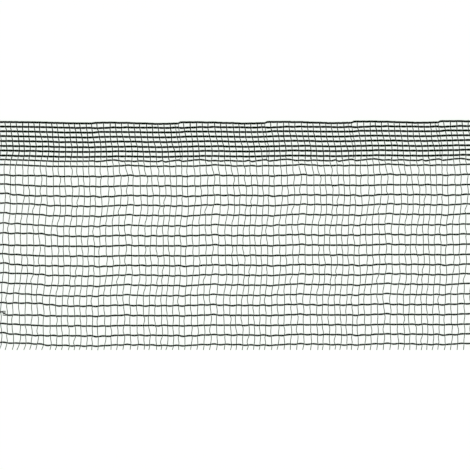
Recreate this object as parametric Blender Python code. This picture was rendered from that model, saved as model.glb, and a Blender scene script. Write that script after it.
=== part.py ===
"""A cut length of anti-hail netting: one flat woven sheet with a dense edge band along one side.

The net lies face up on the XY plane. X runs along its warp lines, +Y points to the dense edge,
and its underside is at Z = 0. In the open field every second line and every second weft thread
stands as a bar, so the gaps are cut at twice the pitch of the weave.
"""
import math
from bisect import bisect_right
from collections import namedtuple

import bmesh
import bpy
from mathutils import Vector

MM = 0.001

# Driving dimensions of the weave
WEFT_PITCH = 3.5 * MM  # between neighbouring weft threads of the open field
LINE_PITCH = 5.63 * MM  # between neighbouring warp lines of the open field
EDGE_LINE_PITCH = 2.74 * MM  # between neighbouring warp lines of the dense edge
EDGE_TO_FIELD = 5.62 * MM  # from the last line of the dense edge to the first one of the field
FREE_END = 2.9 * MM  # cut weft ends below the last line
EDGE_LINES = 10
FIELD_LINES = 18

# Driving dimensions of the sheet
NET_WIDTH = 271 * MM
THICKNESS = 1.2 * MM
RIB_RISE = 0.7 * MM  # how far a line of the dense edge stands above the web between lines
RIB_HALF = 0.8 * MM
LINE_BAR = 1.3 * MM
WEFT_BAR = 1.1 * MM
CUT_STEP = 2  # the gaps are cut at this many pitches
WEFT_BARS = 38

# How the net lies: the pattern repeats every 14 wefts, where the loom's own rhythm shows
REPEAT = 14 * WEFT_PITCH
SEAM = 17.5 * MM  # place of one seam between repeats, from the middle of the net
TILT = 1.25 * MM / NET_WIDTH  # the right end lies a little higher than the left
LEFT_REACH = 31 * MM  # this much of the left end turns up
LEFT_TURN = 1.9 * MM
LEFT_TURN_EDGE = 1.0 * MM
SWAY = 0.26 * MM
LEAN = 0.3 * MM  # sideways wander of the weft threads over seven lines
LEAN_LINES = 7

# Runs of the dense edge: share of a repeat from the seam, and how far up the line lies there
EdgeRun = namedtuple("EdgeRun", "share rise")
EDGE_RUNS = (
    EdgeRun(0.0, 0.05 * MM),
    EdgeRun(0.1, 0.22 * MM),
    EdgeRun(0.8, -0.22 * MM),
    EdgeRun(1.0, 0.05 * MM),
)

# The net's grid. A row lies with the dense edge or with the field, or straight along the cut
Row = namedtuple("Row", "y height lies open_below")
Column = namedtuple("Column", "x cut open_beyond")


def clear_scene():
    for item in list(bpy.data.objects):
        bpy.data.objects.remove(item, do_unlink=True)


def principled(name, colour, roughness, metallic=0.0):
    material = bpy.data.materials.new(name)
    material.use_nodes = True
    shader = material.node_tree.nodes["Principled BSDF"]
    shader.inputs["Base Color"].default_value = (*colour, 1.0)
    shader.inputs["Roughness"].default_value = roughness
    shader.inputs["Metallic"].default_value = metallic
    return material


def edge_line_y(line):
    """Distance below the top line of one line of the dense edge, as a negative Y."""
    return -line * EDGE_LINE_PITCH


def field_line_y(line):
    return edge_line_y(EDGE_LINES - 1) - EDGE_TO_FIELD - line * LINE_PITCH


def rib_rows(y, open_below=False):
    """The three grid rows of one raised line: its upper foot, its crest and its lower foot."""
    return [
        Row(y + RIB_HALF, THICKNESS, "edge", False),
        Row(y, THICKNESS + RIB_RISE, "edge", False),
        Row(y - RIB_HALF, THICKNESS, "edge", open_below),
    ]


def net_rows():
    """Grid rows from the dense edge down to the cut weft ends."""
    rows = []
    for line in range(EDGE_LINES):
        rows += rib_rows(edge_line_y(line))
    rows += rib_rows(field_line_y(0), open_below=True)
    for line in range(CUT_STEP, FIELD_LINES, CUT_STEP):
        y = field_line_y(line)
        rows.append(Row(y + LINE_BAR / 2, THICKNESS, "field", False))
        rows.append(Row(y - LINE_BAR / 2, THICKNESS, "field", True))
    rows.append(Row(field_line_y(FIELD_LINES - 1) - FREE_END, THICKNESS, "cut", False))
    return rows


def net_columns():
    """Grid columns from the left cut end to the right one, two for each weft bar."""
    columns = [Column(-NET_WIDTH / 2, True, True)]
    for bar in range(WEFT_BARS):
        middle = (bar - (WEFT_BARS - 1) / 2) * CUT_STEP * WEFT_PITCH
        columns.append(Column(middle - WEFT_BAR / 2, False, False))
        columns.append(Column(middle + WEFT_BAR / 2, False, True))
    columns.append(Column(NET_WIDTH / 2, True, False))
    return columns


def seam_share(x):
    """How far along its repeat a place lies, from 0 to 1."""
    repeats = (x - SEAM) / REPEAT
    return repeats - math.floor(repeats)


def end_share(x):
    """1 at the left cut end, down to 0 where the net lies straight."""
    return max(0.0, 1.0 - (x + NET_WIDTH / 2) / LEFT_REACH)


def field_lie(x):
    """How far a line of the field lies above its even place, in Y."""
    return TILT * x + LEFT_TURN * end_share(x) - SWAY * math.cos(2 * math.pi * seam_share(x))


def edge_lie(x):
    """The same for the dense edge, in straight runs that step up at each seam."""
    share = seam_share(x)
    after = min(bisect_right([run.share for run in EDGE_RUNS], share), len(EDGE_RUNS) - 1)
    start, end = EDGE_RUNS[after - 1], EDGE_RUNS[after]
    part = (share - start.share) / (end.share - start.share)
    return TILT * x + LEFT_TURN_EDGE * end_share(x) + start.rise + part * (end.rise - start.rise)


def weft_lean(y):
    return LEAN * math.sin(2 * math.pi * (y - field_line_y(0)) / (LEAN_LINES * LINE_PITCH))


def place(column, row, on_top):
    """Where one corner of the grid lies in the net."""
    rise = {"edge": edge_lie(column.x), "field": field_lie(column.x), "cut": 0.0}
    lean = 0.0 if column.cut or row.lies == "edge" else weft_lean(row.y)
    return Vector((column.x + lean, row.y + rise[row.lies], row.height if on_top else 0.0))


def net_mesh():
    """The net as one closed body: a grid without its gaps, pulled up to its thickness."""
    rows = net_rows()
    columns = net_columns()
    across = len(columns) - 1
    down = len(rows) - 1
    net = bmesh.new()
    bmesh.ops.create_grid(net, x_segments=across, y_segments=down, size=0.5)

    gaps = []
    for face in net.faces:
        middle = face.calc_center_median()
        column = columns[math.floor((middle.x + 0.5) * across)]
        row = rows[math.floor((0.5 - middle.y) * down)]
        if column.open_beyond and row.open_below:
            gaps.append(face)
    bmesh.ops.delete(net, geom=gaps, context="FACES")

    pulled = bmesh.ops.extrude_face_region(net, geom=net.faces[:], use_keep_orig=True)
    upper = {item for item in pulled["geom"] if isinstance(item, bmesh.types.BMVert)}
    for vertex in net.verts:
        column = columns[round((vertex.co.x + 0.5) * across)]
        row = rows[round((0.5 - vertex.co.y) * down)]
        vertex.co = place(column, row, vertex in upper)

    centre_on_origin(net)
    bmesh.ops.recalc_face_normals(net, faces=net.faces[:])
    mesh = bpy.data.meshes.new("hail_net")
    net.to_mesh(mesh)
    net.free()
    return mesh


def centre_on_origin(net):
    """Shifts the net so that the middle of its box stands over the origin."""
    xs = [vertex.co.x for vertex in net.verts]
    ys = [vertex.co.y for vertex in net.verts]
    middle = Vector(((min(xs) + max(xs)) / 2, (min(ys) + max(ys)) / 2, 0.0))
    bmesh.ops.translate(net, verts=net.verts[:], vec=-middle)


def build():
    clear_scene()
    collection = bpy.data.collections.new("Hail net")
    bpy.context.scene.collection.children.link(collection)
    net = bpy.data.objects.new("hail_net", net_mesh())
    net.data.materials.append(principled("dark green monofilament", (0.009, 0.02, 0.008), 0.42))
    collection.objects.link(net)


build()
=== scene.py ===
"""A cut length of hail net, woven thread by thread in leno weave, with its tucked-in dense edge.

Every warp line is a standing end and a crossing end that changes sides between wefts, so the
pair locks each weft. In the dense edge the lines stand close, and the tail of each weft turns
over the top line and lies in the next shed beside its neighbour.
"""

import math
from collections import defaultdict, namedtuple

import bpy
import numpy as np
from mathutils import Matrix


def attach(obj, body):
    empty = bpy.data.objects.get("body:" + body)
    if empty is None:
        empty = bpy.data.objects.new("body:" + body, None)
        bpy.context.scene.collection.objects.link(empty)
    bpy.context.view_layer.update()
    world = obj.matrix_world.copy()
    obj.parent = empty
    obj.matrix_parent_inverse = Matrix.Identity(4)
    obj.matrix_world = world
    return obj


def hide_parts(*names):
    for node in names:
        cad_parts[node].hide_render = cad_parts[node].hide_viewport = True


bl_info = {
    "name": "Hail net",
    "version": (1, 0, 0),
    "blender": (4, 5, 0),
    "location": "View3D > Sidebar > Hail net",
    "description": "Weaves a cut length of hail net thread by thread and lays it under a camera",
    "category": "Add Mesh",
}

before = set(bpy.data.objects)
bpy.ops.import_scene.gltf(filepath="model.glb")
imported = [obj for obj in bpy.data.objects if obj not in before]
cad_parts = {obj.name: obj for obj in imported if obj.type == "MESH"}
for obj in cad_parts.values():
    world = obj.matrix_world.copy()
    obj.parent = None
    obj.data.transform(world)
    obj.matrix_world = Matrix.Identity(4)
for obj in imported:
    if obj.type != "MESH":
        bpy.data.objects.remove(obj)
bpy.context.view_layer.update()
NET_NODE = "hail_net"
ROOT_BODY = "root"

MM = 0.001
FRAME_PIXELS = 470  # the photograph's side
PIXEL = 0.5657 * MM  # real size of one of its pixels on the net

# The weave, counted from the top of the dense edge
EDGE_LINES = 10
FIELD_LINES = 18
LINES = EDGE_LINES + FIELD_LINES
SPLIT_LINE = EDGE_LINES + 9  # the field is made in two pieces that meet at this line
REPEAT_WEFTS = 14
REPEAT_LINES = 7
FIRST_WEFT = -45  # counted from the first weft after the middle seam
LAST_WEFT = 32
LEFT_SEAM = -28  # left of this weft the dense edge has no more seams
TAIL_LINES = 8  # lines of the dense edge that the weft tails run through
BROKEN_LINE = EDGE_LINES + 14  # a thread change, where one pair ends and the next begins

# Lines of the dense edge: space to the line below, how far left its wefts have slipped, with the
# part of the slip that builds up from weft to weft until the repeat ends, how much more the wefts
# below it lean left to right than their crossings do, how far its wefts are pushed right towards
# the left cut, how far the line turns up there, from how far in, and the place left of which it
# runs without its waves
EdgeLine = namedtuple("EdgeLine", "gap slip growth skew push turn reach quiet")
EDGE_TABLE = (
    EdgeLine(2.52 * MM, 2.50 * MM, 0.055 * MM, 0.0, 3.45 * MM, 1.00 * MM, 46 * MM, -80 * MM),
    EdgeLine(2.58 * MM, 2.20 * MM, 0.070 * MM, 0.12 * MM, 3.40 * MM, 0.95 * MM, 46 * MM, -80 * MM),
    EdgeLine(2.74 * MM, 1.85 * MM, 0.090 * MM, 0.14 * MM, 3.35 * MM, 0.90 * MM, 40 * MM, -86 * MM),
    EdgeLine(2.72 * MM, 1.50 * MM, 0.090 * MM, 0.13 * MM, 3.25 * MM, 0.90 * MM, 40 * MM, -86 * MM),
    EdgeLine(2.84 * MM, 1.15 * MM, 0.070 * MM, 0.13 * MM, 3.10 * MM, 0.90 * MM, 40 * MM, -86 * MM),
    EdgeLine(2.70 * MM, 0.75 * MM, 0.045 * MM, 0.0, 2.90 * MM, 0.92 * MM, 40 * MM, -86 * MM),
    EdgeLine(2.80 * MM, 0.55 * MM, 0.015 * MM, 0.0, 2.80 * MM, 0.98 * MM, 40 * MM, -86 * MM),
    EdgeLine(2.45 * MM, 0.60 * MM, 0.0, 0.12 * MM, 2.45 * MM, 0.95 * MM, 40 * MM, -86 * MM),
    EdgeLine(2.88 * MM, 0.68 * MM, -0.020 * MM, 0.26 * MM, 1.90 * MM, 1.15 * MM, 34 * MM, -80 * MM),
    EdgeLine(5.62 * MM, 0.62 * MM, -0.035 * MM, 0.0, 1.30 * MM, 1.20 * MM, 32 * MM, -80 * MM),
)
TOP_THREAD = 0.95  # thickness of the top line's threads, as a share of those below it
SEAM_SLIP = 0.34 * MM  # the last weft before each seam has slipped this much less than the first

# Lines of the field over one repeat: thickness as a share of the usual one, how far the line
# stands above its even place, how much it waves, at which share of the repeat it lies lowest, how
# far its wefts are swayed to the right and how much they crowd and spread along it, and how far
# the line turns up at the left cut, from how far in
FieldLine = namedtuple("FieldLine", "thick rise wave lowest_at sway crowd turn reach")
FIELD_TABLE = (
    FieldLine(1.03, 0.0, 0.18 * MM, 0.96, 0.35 * MM, 0.33 * MM, 1.15 * MM, 27 * MM),
    FieldLine(1.02, -0.03 * MM, 0.14 * MM, 0.02, 0.44 * MM, 0.36 * MM, 1.75 * MM, 26 * MM),
    FieldLine(1.02, -0.03 * MM, 0.23 * MM, 0.04, 0.74 * MM, 0.60 * MM, 2.15 * MM, 23 * MM),
    FieldLine(0.97, 0.15 * MM, 0.32 * MM, 0.02, 0.62 * MM, 0.53 * MM, 2.30 * MM, 30 * MM),
    FieldLine(0.97, 0.13 * MM, 0.29 * MM, 0.98, 0.02 * MM, 0.53 * MM, 2.30 * MM, 28 * MM),
    FieldLine(0.94, 0.06 * MM, 0.23 * MM, 0.90, -0.57 * MM, 0.55 * MM, 2.20 * MM, 27 * MM),
    FieldLine(1.01, 0.03 * MM, 0.21 * MM, 0.85, -0.70 * MM, 0.47 * MM, 2.15 * MM, 40 * MM),
)

# Wefts between one line and the next, from the last line of the dense edge down over one repeat:
# how far they bow to the right, and how much more they lean left to right than their crossings do
WeftBend = namedtuple("WeftBend", "bow skew")
BEND_TABLE = (
    WeftBend(-0.10 * MM, -0.13 * MM),
    WeftBend(0.0, 0.02 * MM),
    WeftBend(-0.05 * MM, -0.04 * MM),
    WeftBend(-0.06 * MM, -0.03 * MM),
    WeftBend(-0.12 * MM, -0.03 * MM),
    WeftBend(-0.06 * MM, -0.12 * MM),
    WeftBend(-0.24 * MM, 0.05 * MM),
    WeftBend(-0.10 * MM, 0.14 * MM),
)

# How the net lies as a whole
MIDDLE_SEAM = 17.5 * MM  # where one repeat of the pattern ends and the next begins
FIRST_AFTER_SEAM = 22.68 * MM  # even place of the first weft after that seam
TILT = 0.0044  # rise of the lines to the right
QUIET_FADE = 12 * MM  # length over which the waves of a line of the dense edge come in
FIELD_DRIFT = 0.945 * MM  # the wefts move left by this much with every repeat down the field
FIELD_PUSH = 0.5 * MM  # push of the field's wefts to the right, one repeat left of the last seam
FIELD_PUSH_POWER = 2  # how that push grows with the distance from the seam
EDGE_PUSH_POWER = 0.85  # the same for the push in the dense edge
LEFT_TURN_POWER = 1.5  # how sharply a line turns up towards the left cut
CROWD_AT = 7.4  # wefts after the seam where they lie furthest right
CROWD_FADE = 6  # wefts left of the last seam over which they stop crowding
EDGE_WAVE = 0.21 * MM
EDGE_LOWEST_AT = 0.81  # share of the repeat
SECOND_WAVE = 0.09 * MM  # a smaller wave of the field, twice in each repeat
SECOND_LOWEST_AT = 0.12

# How far threads stray by chance
PATTERN_SEED = 11
THREAD_SEED = 5
EDGE_WEFT_STRAY = 0.2 * MM  # wefts along the lines of the dense edge
CROSSING_STRAY = 0.09 * MM  # every single crossing of a weft with a line
BOW_STRAY = 0.24 * MM  # bow and skew of the wefts between two lines
SKEW_STRAY = 0.23 * MM
LINE_STRAY = 0.05 * MM  # a line up or down, half-way between two wefts
FIELD_LINE_STRAY = 1.4  # that of the field's lines, as a share of the usual one
RUN_LINE_STRAY = 0.5  # the same for the lines of the dense edge with runs of their own
ZIGZAG_SHARES = (0.4, 1.4)  # least and most of the usual zigzag
TAIL_STRAY = 0.05 * MM  # the tail of a weft along each line

# The cut ends
CUT_STRAY = 0.08 * MM  # how unevenly they are cut
CUT_LEAN = 0.35 * MM  # how far they lean left, and how unevenly
CUT_LEAN_STRAY = 0.22 * MM
LEFT_LEAN = 0.8 * MM  # how much more they lean in the end near the left cut
LEFT_LEAN_FROM = -90 * MM  # place where that begins, and the length over which it comes in
LEFT_LEAN_FADE = 40 * MM
LINE_END_STRAY = 0.5 * MM  # how far inside the net's ends a line is cut at most
END_HOLD = 0.3 * MM  # a weft nearer than this to a line's end isn't held by it
TOP_STUB = 0.9 * MM  # how far above the top line the last weft ends, which has no tail
BROKEN_END = -129.7 * MM  # where the old pair ends at the thread change
BROKEN_START = -131.4 * MM  # where the new one begins
BROKEN_LIFT = 1.4 * MM  # how far the old pair lies above the new one

# The tails of the wefts
TAIL_APART = 0.15 * MM  # how far left of the next weft a tail lies
OWN_SHED_APART = 1.9 * MM  # the same at the top line, for a tail with a shed of its own
OWN_SHED_CLOSES = 0.1 * MM  # how much closer to the weft that tail lies with every line down
TAIL_END_SHARES = (0.5, 0.9)  # least and most of its way to the next line that a tail's end goes
TAIL_END_STRAY = 0.12 * MM  # how far that end strays sideways
TAIL_END_SINKS = 0.3 * MM

# Lines of the dense edge that run unevenly between the seams: a share of the repeat, and how far
# the line drops there
LineRun = namedtuple("LineRun", "share drop")
EDGE_RUNS = {
    0: (
        LineRun(0.01, -0.35 * MM),
        LineRun(0.23, -0.36 * MM),
        LineRun(0.32, -0.12 * MM),
        LineRun(0.38, -0.20 * MM),
        LineRun(0.48, 0.04 * MM),
        LineRun(0.62, 0.20 * MM),
        LineRun(0.73, 0.50 * MM),
        LineRun(0.85, 0.48 * MM),
        LineRun(0.99, 0.25 * MM),
    ),
    1: (
        LineRun(0.03, 0.34 * MM),
        LineRun(0.10, 0.10 * MM),
        LineRun(0.17, 0.02 * MM),
        LineRun(0.24, -0.25 * MM),
        LineRun(0.32, 0.0),
        LineRun(0.39, -0.24 * MM),
        LineRun(0.48, 0.0),
        LineRun(0.70, 0.0),
        LineRun(0.78, 0.18 * MM),
        LineRun(0.88, 0.23 * MM),
        LineRun(0.97, 0.02 * MM),
    ),
    2: (
        LineRun(0.01, 0.14 * MM),
        LineRun(0.08, -0.24 * MM),
        LineRun(0.26, -0.19 * MM),
        LineRun(0.50, -0.06 * MM),
        LineRun(0.60, 0.08 * MM),
        LineRun(0.86, 0.21 * MM),
        LineRun(0.97, 0.15 * MM),
    ),
    3: (
        LineRun(0.01, 0.06 * MM),
        LineRun(0.10, -0.19 * MM),
        LineRun(0.30, -0.23 * MM),
        LineRun(0.48, -0.06 * MM),
        LineRun(0.60, 0.03 * MM),
        LineRun(0.80, 0.26 * MM),
        LineRun(0.92, 0.21 * MM),
    ),
    8: (
        LineRun(0.005, -0.30 * MM),
        LineRun(0.035, 0.38 * MM),
        LineRun(0.08, 0.10 * MM),
        LineRun(0.12, -0.02 * MM),
        LineRun(0.17, -0.40 * MM),
        LineRun(0.25, -0.60 * MM),
        LineRun(0.30, -0.30 * MM),
        LineRun(0.34, 0.12 * MM),
        LineRun(0.42, -0.06 * MM),
        LineRun(0.48, 0.28 * MM),
        LineRun(0.54, -0.05 * MM),
        LineRun(0.59, 0.0),
        LineRun(0.64, 0.26 * MM),
        LineRun(0.76, 0.38 * MM),
        LineRun(0.80, -0.16 * MM),
        LineRun(0.84, 0.68 * MM),
        LineRun(0.89, 0.20 * MM),
        LineRun(0.98, -0.27 * MM),
    ),
    9: (
        LineRun(0.05, 0.14 * MM),
        LineRun(0.19, 0.22 * MM),
        LineRun(0.26, -0.12 * MM),
        LineRun(0.34, -0.20 * MM),
        LineRun(0.41, -0.60 * MM),
        LineRun(0.49, -0.18 * MM),
        LineRun(0.57, -0.08 * MM),
        LineRun(0.63, 0.32 * MM),
        LineRun(0.70, 0.12 * MM),
        LineRun(0.77, 0.23 * MM),
        LineRun(0.84, -0.06 * MM),
        LineRun(0.91, 0.32 * MM),
        LineRun(0.98, 0.07 * MM),
    ),
}


class NetSizes(bpy.types.PropertyGroup):
    """Sizes of the weave."""

    weft_pitch: bpy.props.FloatProperty(
        name="Weft pitch", description="Spacing of the wefts", default=3.502 * MM, unit="LENGTH"
    )
    line_pitch: bpy.props.FloatProperty(
        name="Line pitch",
        description="Spacing of the warp lines in the open field",
        default=5.638 * MM,
        unit="LENGTH",
    )
    weft_thread: bpy.props.FloatProperty(
        name="Weft thread", description="Thickness of a weft", default=0.39 * MM, unit="LENGTH"
    )
    field_thread: bpy.props.FloatProperty(
        name="Field thread",
        description="Thickness of the warp threads in the open field",
        default=0.50 * MM,
        unit="LENGTH",
    )
    edge_thread: bpy.props.FloatProperty(
        name="Edge thread",
        description="Thickness of the warp threads in the dense edge",
        default=0.63 * MM,
        unit="LENGTH",
    )
    top_line: bpy.props.FloatProperty(
        name="Top line", description="Place of the top line", default=63.49 * MM, unit="LENGTH"
    )
    bottom_cut: bpy.props.FloatProperty(
        name="Bottom cut",
        description="Place where the wefts are cut below the last line",
        default=-64.96 * MM,
        unit="LENGTH",
    )
    left_cut: bpy.props.FloatProperty(
        name="Left cut",
        description="Place of the left cut end",
        default=-135.8 * MM,
        unit="LENGTH",
    )
    right_cut: bpy.props.FloatProperty(
        name="Right cut",
        description="Place of the right cut end",
        default=136.8 * MM,
        unit="LENGTH",
    )
    weft_stray: bpy.props.FloatProperty(
        name="Weft stray",
        description="How far the wefts of the field stray from their even places",
        default=0.22 * MM,
        unit="LENGTH",
    )
    zigzag: bpy.props.FloatProperty(
        name="Zigzag",
        description="How far a twisted pair swings up and down from weft to weft",
        default=0.175 * MM,
        unit="LENGTH",
    )


class NetColours(bpy.types.PropertyGroup):
    """Colours and finish of the threads."""

    deep: bpy.props.FloatVectorProperty(
        name="Deep green",
        description="The thread's colour where it is darkest",
        subtype="COLOR",
        size=3,
        min=0.0,
        max=1.0,
        default=(0.008, 0.021, 0.0075),
    )
    fresh: bpy.props.FloatVectorProperty(
        name="Fresh green",
        description="The thread's colour where it is lightest",
        subtype="COLOR",
        size=3,
        min=0.0,
        max=1.0,
        default=(0.015, 0.045, 0.0135),
    )
    rubbed: bpy.props.FloatVectorProperty(
        name="Rubbed",
        description="Colour of the thread where it rubs on its neighbour",
        subtype="COLOR",
        size=3,
        min=0.0,
        max=1.0,
        default=(0.036, 0.062, 0.032),
    )
    roughness: bpy.props.FloatProperty(
        name="Roughness",
        description="Roughness of the drawn thread",
        default=0.42,
        min=0.0,
        max=1.0,
    )


class StageSizes(bpy.types.PropertyGroup):
    """Camera, floor and light."""

    camera_height: bpy.props.FloatProperty(
        name="Camera height",
        description="Height of the camera over the net",
        default=1.6,
        unit="LENGTH",
    )
    centre_y: bpy.props.FloatProperty(
        name="Centre",
        description="Place on the net under the camera",
        default=0.04 * MM,
        unit="LENGTH",
    )
    floor_side: bpy.props.FloatProperty(
        name="Floor side", description="Side of the floor", default=6.0, unit="LENGTH"
    )
    sky: bpy.props.FloatProperty(
        name="Sky", description="Strength of the even light from all round", default=0.12, min=0.0
    )
    lamp: bpy.props.FloatProperty(
        name="Lamp", description="Power of the large soft lamp, in watts", default=9.0, min=0.0
    )
    lamp_size: bpy.props.FloatProperty(
        name="Lamp size", description="Side of the large soft lamp", default=1.4, unit="LENGTH"
    )
    lamp_height: bpy.props.FloatProperty(
        name="Lamp height", description="Height of the large soft lamp", default=2.2, unit="LENGTH"
    )
    glow: bpy.props.FloatProperty(
        name="Floor glow",
        description="Light that the pale floor gives from below, like a light table",
        default=0.784,
        min=0.0,
    )


def smooth_step(share):
    return share * share * (3 - 2 * share)


def uneven(chance, rows, closed):
    """Chance numbers for each row and weft of a repeat, each row much like the one before it.

    Their spread is 1. If closed, the last row is much like the first one as well.
    """
    numbers = chance.normal(size=(rows + 2, REPEAT_WEFTS))
    if closed:
        numbers = np.concatenate([numbers[-3:-2], numbers[:-2], numbers[:1]])
    numbers = numbers[:-2] + 2 * numbers[1:-1] + numbers[2:]
    return numbers / numbers.std()


class Weave:
    """Where the lines and wefts of the net run, worked out from its sizes."""

    def __init__(self, sizes):
        self.sizes = sizes
        self.pitch = sizes.weft_pitch
        self.repeat = REPEAT_WEFTS * self.pitch
        self.wefts = np.arange(FIRST_WEFT, LAST_WEFT + 1)
        self.in_repeat = self.wefts % REPEAT_WEFTS
        gaps = [line.gap for line in EDGE_TABLE]
        self.even_y = sizes.top_line - np.concatenate([[0.0], np.cumsum(gaps)])
        field = self.even_y[-1] - sizes.line_pitch * np.arange(1, FIELD_LINES)
        self.even_y = np.concatenate([self.even_y, field])

        chance = np.random.default_rng(PATTERN_SEED)
        self.edge_stray = uneven(chance, EDGE_LINES, closed=False) * EDGE_WEFT_STRAY
        self.field_stray = uneven(chance, REPEAT_LINES, closed=True) * sizes.weft_stray
        self.bow_stray = chance.normal(0, BOW_STRAY, (len(BEND_TABLE), REPEAT_WEFTS))
        self.skew_stray = chance.normal(0, SKEW_STRAY, (len(BEND_TABLE), REPEAT_WEFTS))
        self.line_stray = self.line_strays(chance)
        self.weft_x = np.array([self.weft_places(line) for line in range(LINES)])
        self.weft_x += chance.normal(0, CROSSING_STRAY, self.weft_x.shape)

    def line_strays(self, chance):
        """How far lines rise or drop between each weft and the next, in a zigzag in the field."""
        rows = chance.normal(0, LINE_STRAY, (EDGE_LINES + REPEAT_LINES, REPEAT_WEFTS))
        rows[EDGE_LINES:] *= FIELD_LINE_STRAY
        swing = np.where(np.arange(REPEAT_WEFTS) % 2, 1, -1)
        shares = chance.uniform(*ZIGZAG_SHARES, (REPEAT_LINES, REPEAT_WEFTS))
        rows[EDGE_LINES:] += swing * shares * self.sizes.zigzag
        rows[list(EDGE_RUNS)] *= RUN_LINE_STRAY
        return rows

    def pattern_row(self, line):
        """Row of the stray tables for a line: the field's rows come back every repeat."""
        if line < EDGE_LINES:
            return line
        return EDGE_LINES + (line - EDGE_LINES) % REPEAT_LINES

    def first_weft_x(self, line):
        """Sideways place on a line of the first weft after the seam, but for its own strays."""
        if line < EDGE_LINES:
            return FIRST_AFTER_SEAM - EDGE_TABLE[line].slip
        repeats, row = divmod(line - EDGE_LINES, REPEAT_LINES)
        return FIRST_AFTER_SEAM + FIELD_TABLE[row].sway - FIELD_DRIFT * repeats

    def weft_places(self, line):
        """Sideways place of every weft where it crosses a line."""
        even = self.first_weft_x(line) + self.pitch * self.wefts
        past_seam = np.clip(LEFT_SEAM - self.wefts, 0, None)
        if line < EDGE_LINES:
            edge = EDGE_TABLE[line]
            last = self.in_repeat == REPEAT_WEFTS - 1
            growth = np.where(last, -SEAM_SLIP, edge.growth * self.in_repeat)
            growth = np.where(past_seam > 0, 0, growth)
            push = edge.push * (past_seam / REPEAT_WEFTS) ** EDGE_PUSH_POWER
            return even - growth + push + self.edge_stray[line][self.in_repeat]
        row = (line - EDGE_LINES) % REPEAT_LINES
        crowd = np.cos(2 * math.pi * (self.in_repeat - CROWD_AT) / REPEAT_WEFTS)
        crowd *= FIELD_TABLE[row].crowd * np.clip(1 - past_seam / CROWD_FADE, 0, 1)
        push = FIELD_PUSH * (past_seam / REPEAT_WEFTS) ** FIELD_PUSH_POWER
        return even + push + crowd + self.field_stray[row][self.in_repeat]

    def weft_bends(self, line, index):
        """How a weft bends between a line and the next.

        Each share of the way down comes with how far right of the straight way the weft lies there.
        """
        if line < EDGE_LINES - 1:
            skew = EDGE_TABLE[line].skew
            return {0.3: -skew / 2, 0.7: skew / 2}
        row = 0 if line < EDGE_LINES else 1 + (line - EDGE_LINES) % REPEAT_LINES
        bow = BEND_TABLE[row].bow + self.bow_stray[row, self.in_repeat[index]]
        skew = BEND_TABLE[row].skew + self.skew_stray[row, self.in_repeat[index]]
        return {0.25: 0.75 * bow - skew / 2, 0.5: bow, 0.75: 0.75 * bow + skew / 2}

    def line_drop(self, line, share):
        """How far a line lies below its even place at a share of the repeat."""
        if line in EDGE_RUNS:
            runs = EDGE_RUNS[line]
            shares = [run.share for run in runs]
            drops = [run.drop for run in runs]
            return np.interp(share % 1, shares, drops, period=1)
        if line < EDGE_LINES:
            return EDGE_WAVE * np.cos(2 * math.pi * (share - EDGE_LOWEST_AT))
        row = FIELD_TABLE[(line - EDGE_LINES) % REPEAT_LINES]
        drift = FIELD_DRIFT * ((line - EDGE_LINES) // REPEAT_LINES) / self.repeat
        drop = row.wave * np.cos(2 * math.pi * (share - row.lowest_at + drift))
        drop += SECOND_WAVE * np.cos(4 * math.pi * (share - SECOND_LOWEST_AT + drift))
        return drop - row.rise

    def line_y(self, line, x):
        """How far up the net a line lies at any place along it."""
        if line < EDGE_LINES:
            row = EDGE_TABLE[line]
            waves = smooth_step(np.clip((x - row.quiet) / QUIET_FADE + 0.5, 0, 1))
        else:
            row = FIELD_TABLE[(line - EDGE_LINES) % REPEAT_LINES]
            waves = 1.0
        y = self.even_y[line] + TILT * x
        y = y - waves * self.line_drop(line, (x - MIDDLE_SEAM) / self.repeat)
        from_cut = np.clip((x - self.sizes.left_cut) / row.reach, 0, 1)
        y = y + row.turn * (1 - from_cut**LEFT_TURN_POWER)
        number = (x - self.first_weft_x(line)) / self.pitch + 0.5
        gap = np.floor(number).astype(int)
        stray = self.line_stray[self.pattern_row(line)]
        before = stray[gap % REPEAT_WEFTS]
        after = stray[(gap + 1) % REPEAT_WEFTS]
        return y + before + (after - before) * smooth_step(number - gap)

    def has_own_shed(self, index):
        """True where the tail of a weft lies in a shed of its own, just before a seam."""
        return self.in_repeat[index] == REPEAT_WEFTS - 2 and self.wefts[index] > LEFT_SEAM

    def tail_x(self, line, index):
        """Where the tail of a weft lies at a line: beside the next weft, or in a shed of its own."""
        apart = TAIL_APART
        if self.has_own_shed(index):
            apart = OWN_SHED_APART - OWN_SHED_CLOSES * line
        return self.weft_x[line, index + 1] - apart

    def crossings(self, line):
        """Places where a line holds a weft, from left to right."""
        places = list(self.weft_x[line])
        if line < TAIL_LINES:
            tails = [index for index in range(len(self.wefts) - 1) if self.has_own_shed(index)]
            places += [self.tail_x(line, index) for index in tails]
        return np.sort(places)

    def line_thread(self, line):
        """Thickness of the two threads of a line."""
        if line < TAIL_LINES:
            return self.sizes.edge_thread * (TOP_THREAD if line == 0 else 1)
        if line < EDGE_LINES:
            return self.sizes.field_thread
        return self.sizes.field_thread * FIELD_TABLE[(line - EDGE_LINES) % REPEAT_LINES].thick

    def shed_height(self, line):
        """Thickness of what lies between the two ends of a line: one weft, or a weft and a tail."""
        return self.sizes.weft_thread * (2 if line < TAIL_LINES else 1)

    def weft_z(self, line):
        """Height of a weft's middle above the ground where it crosses a line."""
        return self.line_thread(line) + self.sizes.weft_thread / 2

    def tail_z(self, line):
        """The same for a tail, which lies on top of the wefts."""
        return self.weft_z(line) + self.sizes.weft_thread


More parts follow.
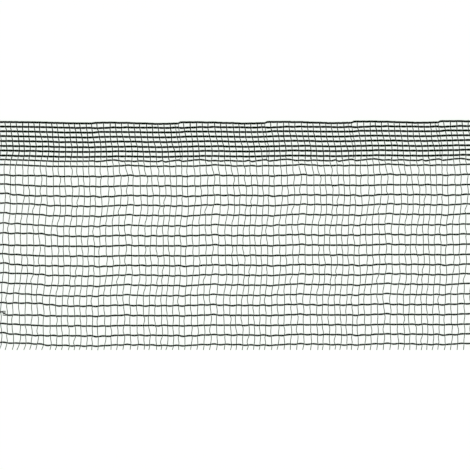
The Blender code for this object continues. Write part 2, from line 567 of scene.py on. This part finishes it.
def smooth_path(knots, steps):
    """Points on a smooth curve through knots, with steps[i] points in each stretch."""
    knots = np.asarray(knots, float)
    span = np.linalg.norm(np.diff(knots, axis=0), axis=1)[:, None]
    slope = np.diff(knots, axis=0) / span
    tangent = np.empty_like(knots)
    tangent[0] = slope[0]
    tangent[-1] = slope[-1]
    tangent[1:-1] = (span[1:] * slope[:-1] + span[:-1] * slope[1:]) / (span[1:] + span[:-1])
    points = []
    for i, count in enumerate(steps):
        t = (np.arange(count) / count)[:, None]
        start = (1 + 2 * t) * (1 - t) ** 2 * knots[i] + t * (1 - t) ** 2 * span[i] * tangent[i]
        end = t * t * (3 - 2 * t) * knots[i + 1] + t * t * (t - 1) * span[i] * tangent[i + 1]
        points.append(start + end)
    points.append(knots[-1:])
    return np.concatenate(points)


def path_run(path):
    """How far along a path each of its points lies."""
    steps = np.linalg.norm(np.diff(path, axis=0), axis=1)
    return np.concatenate([[0.0], np.cumsum(steps)])


class Spool:
    """Threads laid side by side until they are joined into one mesh."""

    SIDES = 6
    MAP_MARGIN = 0.002  # space left free at both sides of the baking map
    ROW_MARGIN = 0.08  # the same above and below each thread, as a share of its row

    def __init__(self):
        self.threads = []

    def lay(self, path, thickness, tone, kind, rub=None):
        """Adds one thread: its path, thickness, tone from 0 to 1, finish and wear along it."""
        rub = np.zeros(len(path)) if rub is None else rub
        self.threads.append((np.asarray(path), thickness, tone, kind, rub))

    def thread_area(self):
        """Half the surface of all threads, which is the flat area of the cloth they make."""
        surfaces = [math.pi * thread[1] * path_run(thread[0])[-1] for thread in self.threads]
        return sum(surfaces) / 2

    def ring_points(self, path, thickness):
        """A ring of points round each point of a path."""
        along = np.gradient(path, axis=0)
        along /= np.linalg.norm(along, axis=1)[:, None]
        up = np.array([0.0, 0.0, 1.0]) - along * along[:, 2:3]
        up /= np.linalg.norm(up, axis=1)[:, None]
        side = np.cross(up, along)
        angles = 2 * math.pi * np.arange(self.SIDES)[None, :, None] / self.SIDES
        ring = np.cos(angles) * side[:, None] - np.sin(angles) * up[:, None]
        return path[:, None] + ring * thickness / 2

    def face_corners(self, rings):
        """Corners of the faces between the rings of a thread, and of the cap on each end."""
        sides = self.SIDES
        i, j = np.meshgrid(np.arange(rings - 1), np.arange(sides), indexing="ij")
        after = (j + 1) % sides
        ring = i * sides
        next_ring = ring + sides
        quads = np.stack([ring + j, next_ring + j, next_ring + after, ring + after], -1)
        start_cap = np.arange(sides)
        end_cap = (rings - 1) * sides + np.arange(sides)[::-1]
        return np.concatenate([quads.ravel(), start_cap, end_cap])

    def corner_places(self, run):
        """How far along the thread each of those corners lies, and at which share of its girth."""
        sides = self.SIDES
        i, j = np.meshgrid(np.arange(len(run) - 1), np.arange(sides), indexing="ij")
        along = np.stack([run[i], run[i + 1], run[i + 1], run[i]], -1).ravel()
        around = np.stack([j, j, j + 1, j + 1], -1).ravel() / sides
        cap_along = np.repeat([run[0], run[-1]], sides)
        cap_around = np.concatenate([np.arange(sides), np.arange(sides)[::-1]]) / sides
        return np.concatenate([along, cap_along]), np.concatenate([around, cap_around])

    def to_object(self, name, materials):
        """One mesh with a row of the baking map for each thread."""
        sides = self.SIDES
        longest = max(path_run(path)[-1] for path, *_ in self.threads)
        arrays = defaultdict(list)
        first = 0
        for row, (path, thickness, tone, kind, rub) in enumerate(self.threads):
            rings = len(path)
            quads = (rings - 1) * sides
            along, around = self.corner_places(path_run(path))
            bake_u = self.MAP_MARGIN + (1 - 2 * self.MAP_MARGIN) * along / longest
            in_row = self.ROW_MARGIN + (1 - 2 * self.ROW_MARGIN) * around
            bake_v = (row + in_row) / len(self.threads)
            arrays["points"].append(self.ring_points(path, thickness).reshape(-1, 3))
            arrays["corners"].append(self.face_corners(rings) + first)
            arrays["sizes"].append([4] * quads + [sides, sides])
            arrays["finish"].append(np.full(quads + 2, kind))
            arrays["Thread"].append(np.stack([along, around], -1))
            arrays["OFBake"].append(np.stack([bake_u, bake_v], -1))
            arrays["tone"].append(np.full(rings * sides, tone))
            arrays["rub"].append(np.repeat(rub, sides))
            first += rings * sides
        return joined_mesh(name, materials, {key: np.concatenate(arrays[key]) for key in arrays})


def joined_mesh(name, materials, whole):
    """An object with one mesh made from whole arrays of its points, faces, maps and values."""
    mesh = bpy.data.meshes.new(name)
    mesh.vertices.add(len(whole["points"]))
    mesh.vertices.foreach_set("co", whole["points"].astype(np.float32).ravel())
    mesh.loops.add(len(whole["corners"]))
    mesh.loops.foreach_set("vertex_index", whole["corners"].astype(np.int32))
    mesh.polygons.add(len(whole["sizes"]))
    starts = np.concatenate([[0], np.cumsum(whole["sizes"])[:-1]])
    mesh.polygons.foreach_set("loop_start", starts.astype(np.int32))
    for material in materials:
        mesh.materials.append(material)
    mesh.polygons.foreach_set("material_index", whole["finish"].astype(np.int32))
    mesh.polygons.foreach_set("use_smooth", whole["sizes"] == 4)
    for map_name in ("Thread", "OFBake"):
        layer = mesh.uv_layers.new(name=map_name)
        layer.uv.foreach_set("vector", whole[map_name].astype(np.float32).ravel())
    for value_name in ("tone", "rub"):
        values = mesh.attributes.new(value_name, "FLOAT", "POINT")
        values.data.foreach_set("value", whole[value_name].astype(np.float32))
    mesh.update(calc_edges=True)
    mesh.validate()
    piece = bpy.data.objects.new(name, mesh)
    bpy.context.scene.collection.objects.link(piece)
    return piece


# Which of a piece's two finishes a thread has
WARP_FINISH = 0
WEFT_FINISH = 1

# Steps along a line from weft to weft, and along a weft from knot to knot
FIELD_STEPS = 8
EDGE_STEPS = 6
FIELD_WEFT_STEPS = [2, 1, 1, 2]
EDGE_WEFT_STEPS = [1, 1, 1]
CUT_END_STEPS = 4
TURN_STEPS = [2, 2, 3, 3, 2, 2]
TAIL_END_STEPS = 3
STUB_STEPS = 2

# How a pair of threads holds a weft
EDGE_PAIR = 1.0  # distance of two threads side by side, in their thickness, where tails run
FIELD_PAIR = 1.06  # the same in all lines below
TWIST_HOLD = 0.6  # how much the pair dwells side by side between two wefts
OPENING_HALF = 0.7 * MM  # how far along the line the pair starts to open before a weft
LOOSE_SPREAD = 1.2  # how much further the pair parts with each pitch past the outermost weft
RUB_POWER = 3  # how closely the wear keeps to the crossings

# The turn of a weft over the top line
TURN_BITE = 0.12 * MM  # how far it presses into the line's outer side
TURN_OUT_STRAY = 0.06 * MM  # how much less it presses at most
TURN_FOOT = 0.02 * MM  # how far inside its width it leaves the weft and meets the tail
TURN_SHOULDER = 0.45 * MM  # how far inside its width it passes over the line's outer side
SHOULDER_SINKS = 0.2 * MM  # how far below the line's top it does so
TURN_PRESS = 0.05 * MM  # how far it presses into the line's top
TURN_LAST_RISE = 0.1 * MM  # how far above its shed the tail starts


def lay_line(spool, weave, line, left, right, chance, lift=0.0):
    """Lays the two ends of one warp line, twisted by half a turn between each weft and the next."""
    thickness = weave.line_thread(line)
    places = weave.crossings(line)
    places = places[(places > left + END_HOLD) & (places < right - END_HOLD)]
    if len(places) == 0:
        places = np.array([(left + right) / 2])
    # Here t counts the wefts along the line: it is a whole number where the line crosses one
    before = (places[0] - left) / weave.pitch
    after = (right - places[-1]) / weave.pitch
    last = len(places) - 1
    number = np.concatenate([[-before], np.arange(last + 1), [last + after]])
    places = np.concatenate([[left], places, [right]])
    steps = EDGE_STEPS if line < EDGE_LINES else FIELD_STEPS
    t = np.linspace(number[0], number[-1], int((number[-1] - number[0]) * steps) + 1)
    x = np.interp(t, number, places)
    nearest = places[1 + np.clip(np.round(t), 0, last).astype(int)]
    # Past the outermost wefts nothing holds the pair, and its ends part and sink to the ground
    loose = np.clip(np.maximum(-t, t - last), 0, None)
    held = np.clip(1 - loose, 0, 1)
    apart_at_weft = (thickness + weave.shed_height(line)) / 2
    pair = EDGE_PAIR if line < TAIL_LINES else FIELD_PAIR
    closed_up = thickness / 2 * (pair + LOOSE_SPREAD * loose)
    opening = np.exp(-(((x - nearest) / OPENING_HALF) ** 2)) * held
    reach = closed_up + (apart_at_weft - closed_up) * opening
    turn = math.pi * (t + TWIST_HOLD * np.sin(2 * math.pi * t) / (2 * math.pi) * held)
    turn += math.pi * chance.integers(0, 2)
    middle_z = thickness / 2 + held * apart_at_weft
    middle_y = weave.line_y(line, x) + lift
    rub = (0.5 + 0.5 * np.cos(2 * math.pi * t)) ** RUB_POWER * held
    for side in (1, -1):
        y = middle_y + side * closed_up * np.sin(turn)
        z = np.maximum(middle_z + side * reach * np.cos(turn) * held, thickness / 2)
        spool.lay(np.stack([x, y, z], -1), thickness, chance.uniform(), WARP_FINISH, rub)


def knots_between(weave, line, index, start, end, height):
    """Knots of a weft or a tail from its place on a line down to its place on the next."""
    start_y = weave.line_y(line, start)
    end_y = weave.line_y(line + 1, end)
    return [
        (start + (end - start) * share + bend, start_y + (end_y - start_y) * share, height)
        for share, bend in weave.weft_bends(line, index).items()
    ]


def weft_knots(weave, index, chance):
    """Knots of one weft from its cut end to the top line, and the points laid after each."""
    sizes = weave.sizes
    last = LINES - 1
    place = weave.weft_x[last, index]
    near_left = np.clip((LEFT_LEAN_FROM - place) / LEFT_LEAN_FADE, 0, 1)
    lean = chance.normal(CUT_LEAN, CUT_LEAN_STRAY) + LEFT_LEAN * near_left
    cut = sizes.bottom_cut + chance.normal(0, CUT_STRAY)
    knots = [(place - lean, cut, sizes.weft_thread / 2)]
    steps = [CUT_END_STEPS]
    for line in range(last, -1, -1):
        place = weave.weft_x[line, index]
        knots.append((place, weave.line_y(line, place), weave.weft_z(line)))
        if line == 0:
            break
        above = weave.weft_x[line - 1, index]
        knots += knots_between(weave, line - 1, index, above, place, weave.weft_z(line))[::-1]
        steps += FIELD_WEFT_STEPS if line >= EDGE_LINES else EDGE_WEFT_STEPS
    return knots, steps


def tail_knots(weave, index, chance):
    """Knots of the turn over the top line and of the tail in the next shed."""
    sizes = weave.sizes
    here = weave.weft_x[0, index]
    there = weave.tail_x(0, index)
    thread = weave.line_thread(0)
    rim = thread / 2 + sizes.weft_thread / 2  # just outside the stacked ends
    top = 2 * thread + weave.shed_height(0)
    out = rim - TURN_BITE + chance.uniform(0.0, TURN_OUT_STRAY)
    here_y = weave.line_y(0, here) + out
    there_y = weave.line_y(0, there) + out
    shoulder_z = top - SHOULDER_SINKS
    middle = (here + there) / 2
    middle_y = weave.line_y(0, middle) + thread / 2
    knots = [
        (here + TURN_FOOT, here_y, weave.tail_z(0)),
        (here + TURN_SHOULDER, here_y + TURN_FOOT, shoulder_z),
        (middle, middle_y, top - TURN_PRESS + sizes.weft_thread / 2),
        (there - TURN_SHOULDER, there_y + TURN_FOOT, shoulder_z),
        (there - TURN_FOOT, there_y, weave.tail_z(0) + TURN_LAST_RISE),
    ]
    steps = list(TURN_STEPS)
    strays = chance.normal(0, TAIL_STRAY, TAIL_LINES)
    places = [weave.tail_x(line, index) + stray for line, stray in enumerate(strays)]
    knots.append((places[0], weave.line_y(0, places[0]), weave.tail_z(0)))
    for line in range(1, TAIL_LINES):
        height = weave.tail_z(line)
        knots += knots_between(weave, line - 1, index, places[line - 1], places[line], height)
        knots.append((places[line], weave.line_y(line, places[line]), height))
        steps += EDGE_WEFT_STEPS
    # The tail is cut off on its way from its last line to the next
    last = TAIL_LINES - 1
    start = weave.tail_x(last, index)
    goal = weave.tail_x(last + 1, index)
    share = chance.uniform(*TAIL_END_SHARES)
    start_y = weave.line_y(last, start)
    goal_y = weave.line_y(last + 1, goal)
    x = start + (goal - start) * share + chance.normal(0, TAIL_END_STRAY)
    y = start_y + (goal_y - start_y) * share
    knots.append((x, y, weave.tail_z(last) - TAIL_END_SINKS))
    steps.append(TAIL_END_STEPS)
    return knots, steps


def lay_weft(spools, weave, index, chance):
    """Lays one weft, from the spool of the lower field up to its tail in the dense edge."""
    knots, steps = weft_knots(weave, index, chance)
    if index + 1 < len(weave.wefts):
        more, more_steps = tail_knots(weave, index, chance)
        knots += more
        steps += more_steps
    else:
        x, y, z = knots[-1]
        knots.append((x, y + TOP_STUB, z))
        steps.append(STUB_STEPS)
    path = smooth_path(knots, steps)
    tone = chance.uniform()
    # The first knot is the cut end, and then each line of the field has the same number of knots
    knot_at = np.concatenate([[0], np.cumsum(steps)])
    split = knot_at[1 + len(FIELD_WEFT_STEPS) * (LINES - 1 - SPLIT_LINE)]
    field_end = knot_at[1 + len(FIELD_WEFT_STEPS) * (FIELD_LINES - 1)]
    thread = weave.sizes.weft_thread
    spools["lower"].lay(path[: split + 1], thread, tone, WEFT_FINISH)
    spools["upper"].lay(path[split : field_end + 1], thread, tone, WEFT_FINISH)
    spools["edge"].lay(path[field_end:], thread, tone, WEFT_FINISH)


def spool_of(line):
    """Which spool holds the threads of a line."""
    if line < EDGE_LINES:
        return "edge"
    return "upper" if line < SPLIT_LINE else "lower"


def weave_net(sizes):
    """Lays all threads of the net on three spools."""
    weave = Weave(sizes)
    chance = np.random.default_rng(THREAD_SEED)
    spools = {"edge": Spool(), "upper": Spool(), "lower": Spool()}
    for line in range(LINES):
        spool = spools[spool_of(line)]
        left = sizes.left_cut + chance.uniform(0, LINE_END_STRAY)
        right = sizes.right_cut - chance.uniform(0, LINE_END_STRAY)
        if line == BROKEN_LINE:
            lay_line(spool, weave, line, left, BROKEN_END, chance, lift=BROKEN_LIFT)
            left = BROKEN_START
        lay_line(spool, weave, line, left, right, chance)
    for index in range(len(weave.wefts)):
        lay_weft(spools, weave, index, chance)
    return spools


class Wire:
    """One socket of a material's nodes, so that shader maths reads as sums and products."""

    def __init__(self, tree, socket):
        self.tree = tree
        self.socket = socket

    @classmethod
    def node(cls, tree, kind, settings, sockets, output=0):
        """A new node: its settings first, then the values or wires of its sockets."""
        made = tree.nodes.new(kind)
        for name, value in settings.items():
            setattr(made, name, value)
        for name, value in sockets.items():
            if isinstance(value, Wire):
                tree.links.new(value.socket, made.inputs[name])
            else:
                made.inputs[name].default_value = value
        return cls(tree, made.outputs[output])

    def maths(self, operation, first, second=0.0):
        sockets = {0: first, 1: second}
        return Wire.node(self.tree, "ShaderNodeMath", {"operation": operation}, sockets)

    def __add__(self, other):
        return self.maths("ADD", self, other)

    __radd__ = __add__

    def __sub__(self, other):
        return self.maths("SUBTRACT", self, other)

    def __rsub__(self, other):
        return self.maths("SUBTRACT", other, self)

    def __mul__(self, other):
        return self.maths("MULTIPLY", self, other)

    __rmul__ = __mul__

    def cosine(self):
        return self.maths("COSINE", self)

    def sine(self):
        return self.maths("SINE", self)

    def clamped(self):
        return Wire.node(self.tree, "ShaderNodeClamp", {}, {"Value": self})


def mixed_colour(tree, share, first, second):
    """A colour between two others, each given as a wire or three numbers."""
    colours = [value if isinstance(value, Wire) else (*value, 1.0) for value in (first, second)]
    sockets = {0: share, 6: colours[0], 7: colours[1]}
    return Wire.node(tree, "ShaderNodeMix", {"data_type": "RGBA"}, sockets, output=2)


def thread_place(tree, along_scale, around_scale):
    """A point on the thread's skin, unrolled along it, with no seam round it."""
    uv = Wire.node(tree, "ShaderNodeUVMap", {"uv_map": "Thread"}, {})
    along = Wire.node(tree, "ShaderNodeSeparateXYZ", {}, {0: uv})
    around = Wire(tree, along.socket.node.outputs[1]) * (2 * math.pi)
    sockets = {
        0: along * along_scale,
        1: around.cosine() * around_scale,
        2: around.sine() * around_scale,
    }
    return Wire.node(tree, "ShaderNodeCombineXYZ", {}, sockets)


def noise(tree, place, scale, detail):
    sockets = {"Vector": place, "Scale": scale, "Detail": detail}
    return Wire.node(tree, "ShaderNodeTexNoise", {}, sockets)


def attribute(tree, name):
    return Wire.node(tree, "ShaderNodeAttribute", {"attribute_name": name}, {}, output=2)


# The skin of a thread: how fine its streaks and patches are along it and round it, how much they
# and the tone of the whole thread freshen its green, how it wears, and how rough it is
STREAK_SCALES = (70.0, 2.2)
PATCH_SCALES = (240.0, 0.6)
TONE_SHARE = 0.5
PATCH_SHARE = 0.9
STREAK_SHARE = 0.4
FRESH_FROM = 0.45
WORN_BY_PATCH = 1.6
WORN_FROM = 0.35
MOST_WORN = 0.5
STREAK_ROUGHNESS = 0.26
RUBBED_ROUGHNESS = 0.12
SMOOTHEST = 0.1  # how far below the usual roughness it starts


def monofilament(name, colours, shift):
    """Drawn green polyethylene: finely streaked, a tone for each thread, paler where it rubs.

    The shift sets the streaks of one finish apart from those of another.
    """
    material = bpy.data.materials.new(name)
    material.use_nodes = True
    tree = material.node_tree
    shader = tree.nodes["Principled BSDF"]
    streaks = noise(tree, thread_place(tree, *STREAK_SCALES), scale=1.0 + shift, detail=3.0)
    patches = noise(tree, thread_place(tree, *PATCH_SCALES), scale=1.0 + shift, detail=2.0)
    tone = attribute(tree, "tone")
    rub = attribute(tree, "rub")
    freshness = TONE_SHARE * tone + PATCH_SHARE * patches + STREAK_SHARE * streaks - FRESH_FROM
    green = mixed_colour(tree, freshness.clamped(), tuple(colours.deep), tuple(colours.fresh))
    worn = (rub * (patches * WORN_BY_PATCH - WORN_FROM)).clamped() * MOST_WORN
    colour = mixed_colour(tree, worn, green, tuple(colours.rubbed))
    tree.links.new(colour.socket, shader.inputs["Base Color"])
    roughness = colours.roughness - SMOOTHEST + STREAK_ROUGHNESS * streaks + RUBBED_ROUGHNESS * rub
    tree.links.new(roughness.socket, shader.inputs["Roughness"])
    sockets = {"Strength": 0.35, "Distance": 0.03 * MM, "Height": streaks}
    bump = Wire.node(tree, "ShaderNodeBump", {}, sockets)
    tree.links.new(bump.socket, shader.inputs["Normal"])
    shader.inputs["IOR"].default_value = 1.5
    shader.inputs["Specular IOR Level"].default_value = 0.10
    return material


def make_piece(context, spool, name):
    """Makes one piece of the net from its spool, hides the imported net part and puts the piece
    under the root body.
    """
    colours = context.scene.hail_net_colours
    finishes = [
        monofilament(f"{name} warp", colours, shift=0.0),
        monofilament(f"{name} weft", colours, shift=0.3),
    ]
    piece = spool.to_object(name, finishes)
    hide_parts(NET_NODE)
    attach(piece, ROOT_BODY)
    spool.thread_area()


class HAILNET_OT_edge(bpy.types.Operator):
    """Weave the dense edge with the tucked-in tails of the wefts"""

    bl_idname = "hail_net.edge"
    bl_label = "Weave the dense edge"

    def execute(self, context):
        spool = weave_net(context.scene.hail_net_sizes)["edge"]
        make_piece(context, spool, "net_edge")
        return {"FINISHED"}


class HAILNET_OT_field(bpy.types.Operator):
    """Weave the open field in two pieces that meet at one of its lines"""

    bl_idname = "hail_net.field"
    bl_label = "Weave the open field"

    def execute(self, context):
        sizes = context.scene.hail_net_sizes
        spools = weave_net(sizes)
        make_piece(context, spools["upper"], "net_upper")
        make_piece(context, spools["lower"], "net_lower")
        return {"FINISHED"}


FLOOR_COLOURS = ((0.88, 0.912, 0.877), (0.91, 0.942, 0.907))
FLOOR_LIGHT = (0.957, 1.0, 0.953)


def plain_floor(side, glow):
    """Lays a pale floor that gives light from below."""
    mesh = bpy.data.meshes.new("floor")
    half = side / 2
    corners = [(-half, -half, 0), (half, -half, 0), (half, half, 0), (-half, half, 0)]
    mesh.from_pydata(corners, [], [(0, 1, 2, 3)])
    floor = bpy.data.objects.new("floor", mesh)
    material = bpy.data.materials.new("pale floor")
    material.use_nodes = True
    tree = material.node_tree
    shader = tree.nodes["Principled BSDF"]
    place = Wire.node(tree, "ShaderNodeTexCoord", {}, {}, output=3)
    grain = noise(tree, place, scale=6.0, detail=2.0)
    pale = mixed_colour(tree, grain, *FLOOR_COLOURS)
    tree.links.new(pale.socket, shader.inputs["Base Color"])
    shader.inputs["Roughness"].default_value = 0.9
    shader.inputs["Specular IOR Level"].default_value = 0.1
    shader.inputs["Emission Color"].default_value = (*FLOOR_LIGHT, 1.0)
    shader.inputs["Emission Strength"].default_value = glow
    mesh.materials.append(material)
    bpy.context.scene.collection.objects.link(floor)


class HAILNET_OT_stage(bpy.types.Operator):
    """Add the pale floor, the soft light and the camera straight above the net"""

    bl_idname = "hail_net.stage"
    bl_label = "Light and camera"

    def execute(self, context):
        stage = context.scene.hail_net_stage
        scene = context.scene
        plain_floor(stage.floor_side, stage.glow)

        lens = bpy.data.cameras.new("camera")
        lens.sensor_width = 36.0
        lens.lens = lens.sensor_width * stage.camera_height / (FRAME_PIXELS * PIXEL)
        lens.clip_end = 20.0
        camera = bpy.data.objects.new("camera", lens)
        camera.location = (0.0, stage.centre_y, stage.camera_height)
        scene.collection.objects.link(camera)
        scene.camera = camera

        lamp_data = bpy.data.lights.new("soft lamp", "AREA")
        lamp_data.energy = stage.lamp
        lamp_data.size = stage.lamp_size
        lamp = bpy.data.objects.new("soft lamp", lamp_data)
        lamp.location = (0.0, 0.0, stage.lamp_height)
        scene.collection.objects.link(lamp)

        world = bpy.data.worlds.new("studio")
        world.use_nodes = True
        background = world.node_tree.nodes["Background"]
        background.inputs["Color"].default_value = (1.0, 1.0, 1.0, 1.0)
        background.inputs["Strength"].default_value = stage.sky
        scene.world = world
        scene.view_settings.view_transform = "Standard"
        return {"FINISHED"}


class HAILNET_PT_panel(bpy.types.Panel):
    """Lists the steps that make the net."""

    bl_idname = "HAILNET_PT_panel"
    bl_label = "Hail net"
    bl_space_type = "VIEW_3D"
    bl_region_type = "UI"
    bl_category = "Hail net"

    def draw(self, context):
        scene = context.scene
        for group in (scene.hail_net_sizes, scene.hail_net_colours, scene.hail_net_stage):
            for name in group.__annotations__:
                self.layout.prop(group, name)
        self.layout.operator(HAILNET_OT_edge.bl_idname)
        self.layout.operator(HAILNET_OT_field.bl_idname)
        self.layout.operator(HAILNET_OT_stage.bl_idname)


CLASSES = (
    NetSizes,
    NetColours,
    StageSizes,
    HAILNET_OT_edge,
    HAILNET_OT_field,
    HAILNET_OT_stage,
    HAILNET_PT_panel,
)


def register():
    for item in CLASSES:
        bpy.utils.register_class(item)
    bpy.types.Scene.hail_net_sizes = bpy.props.PointerProperty(type=NetSizes)
    bpy.types.Scene.hail_net_colours = bpy.props.PointerProperty(type=NetColours)
    bpy.types.Scene.hail_net_stage = bpy.props.PointerProperty(type=StageSizes)


def unregister():
    del bpy.types.Scene.hail_net_stage
    del bpy.types.Scene.hail_net_colours
    del bpy.types.Scene.hail_net_sizes
    for item in reversed(CLASSES):
        bpy.utils.unregister_class(item)


def main():
    register()
    bpy.ops.hail_net.edge()
    bpy.ops.hail_net.field()
    bpy.ops.hail_net.stage()


if __name__ == "__main__":
    main()
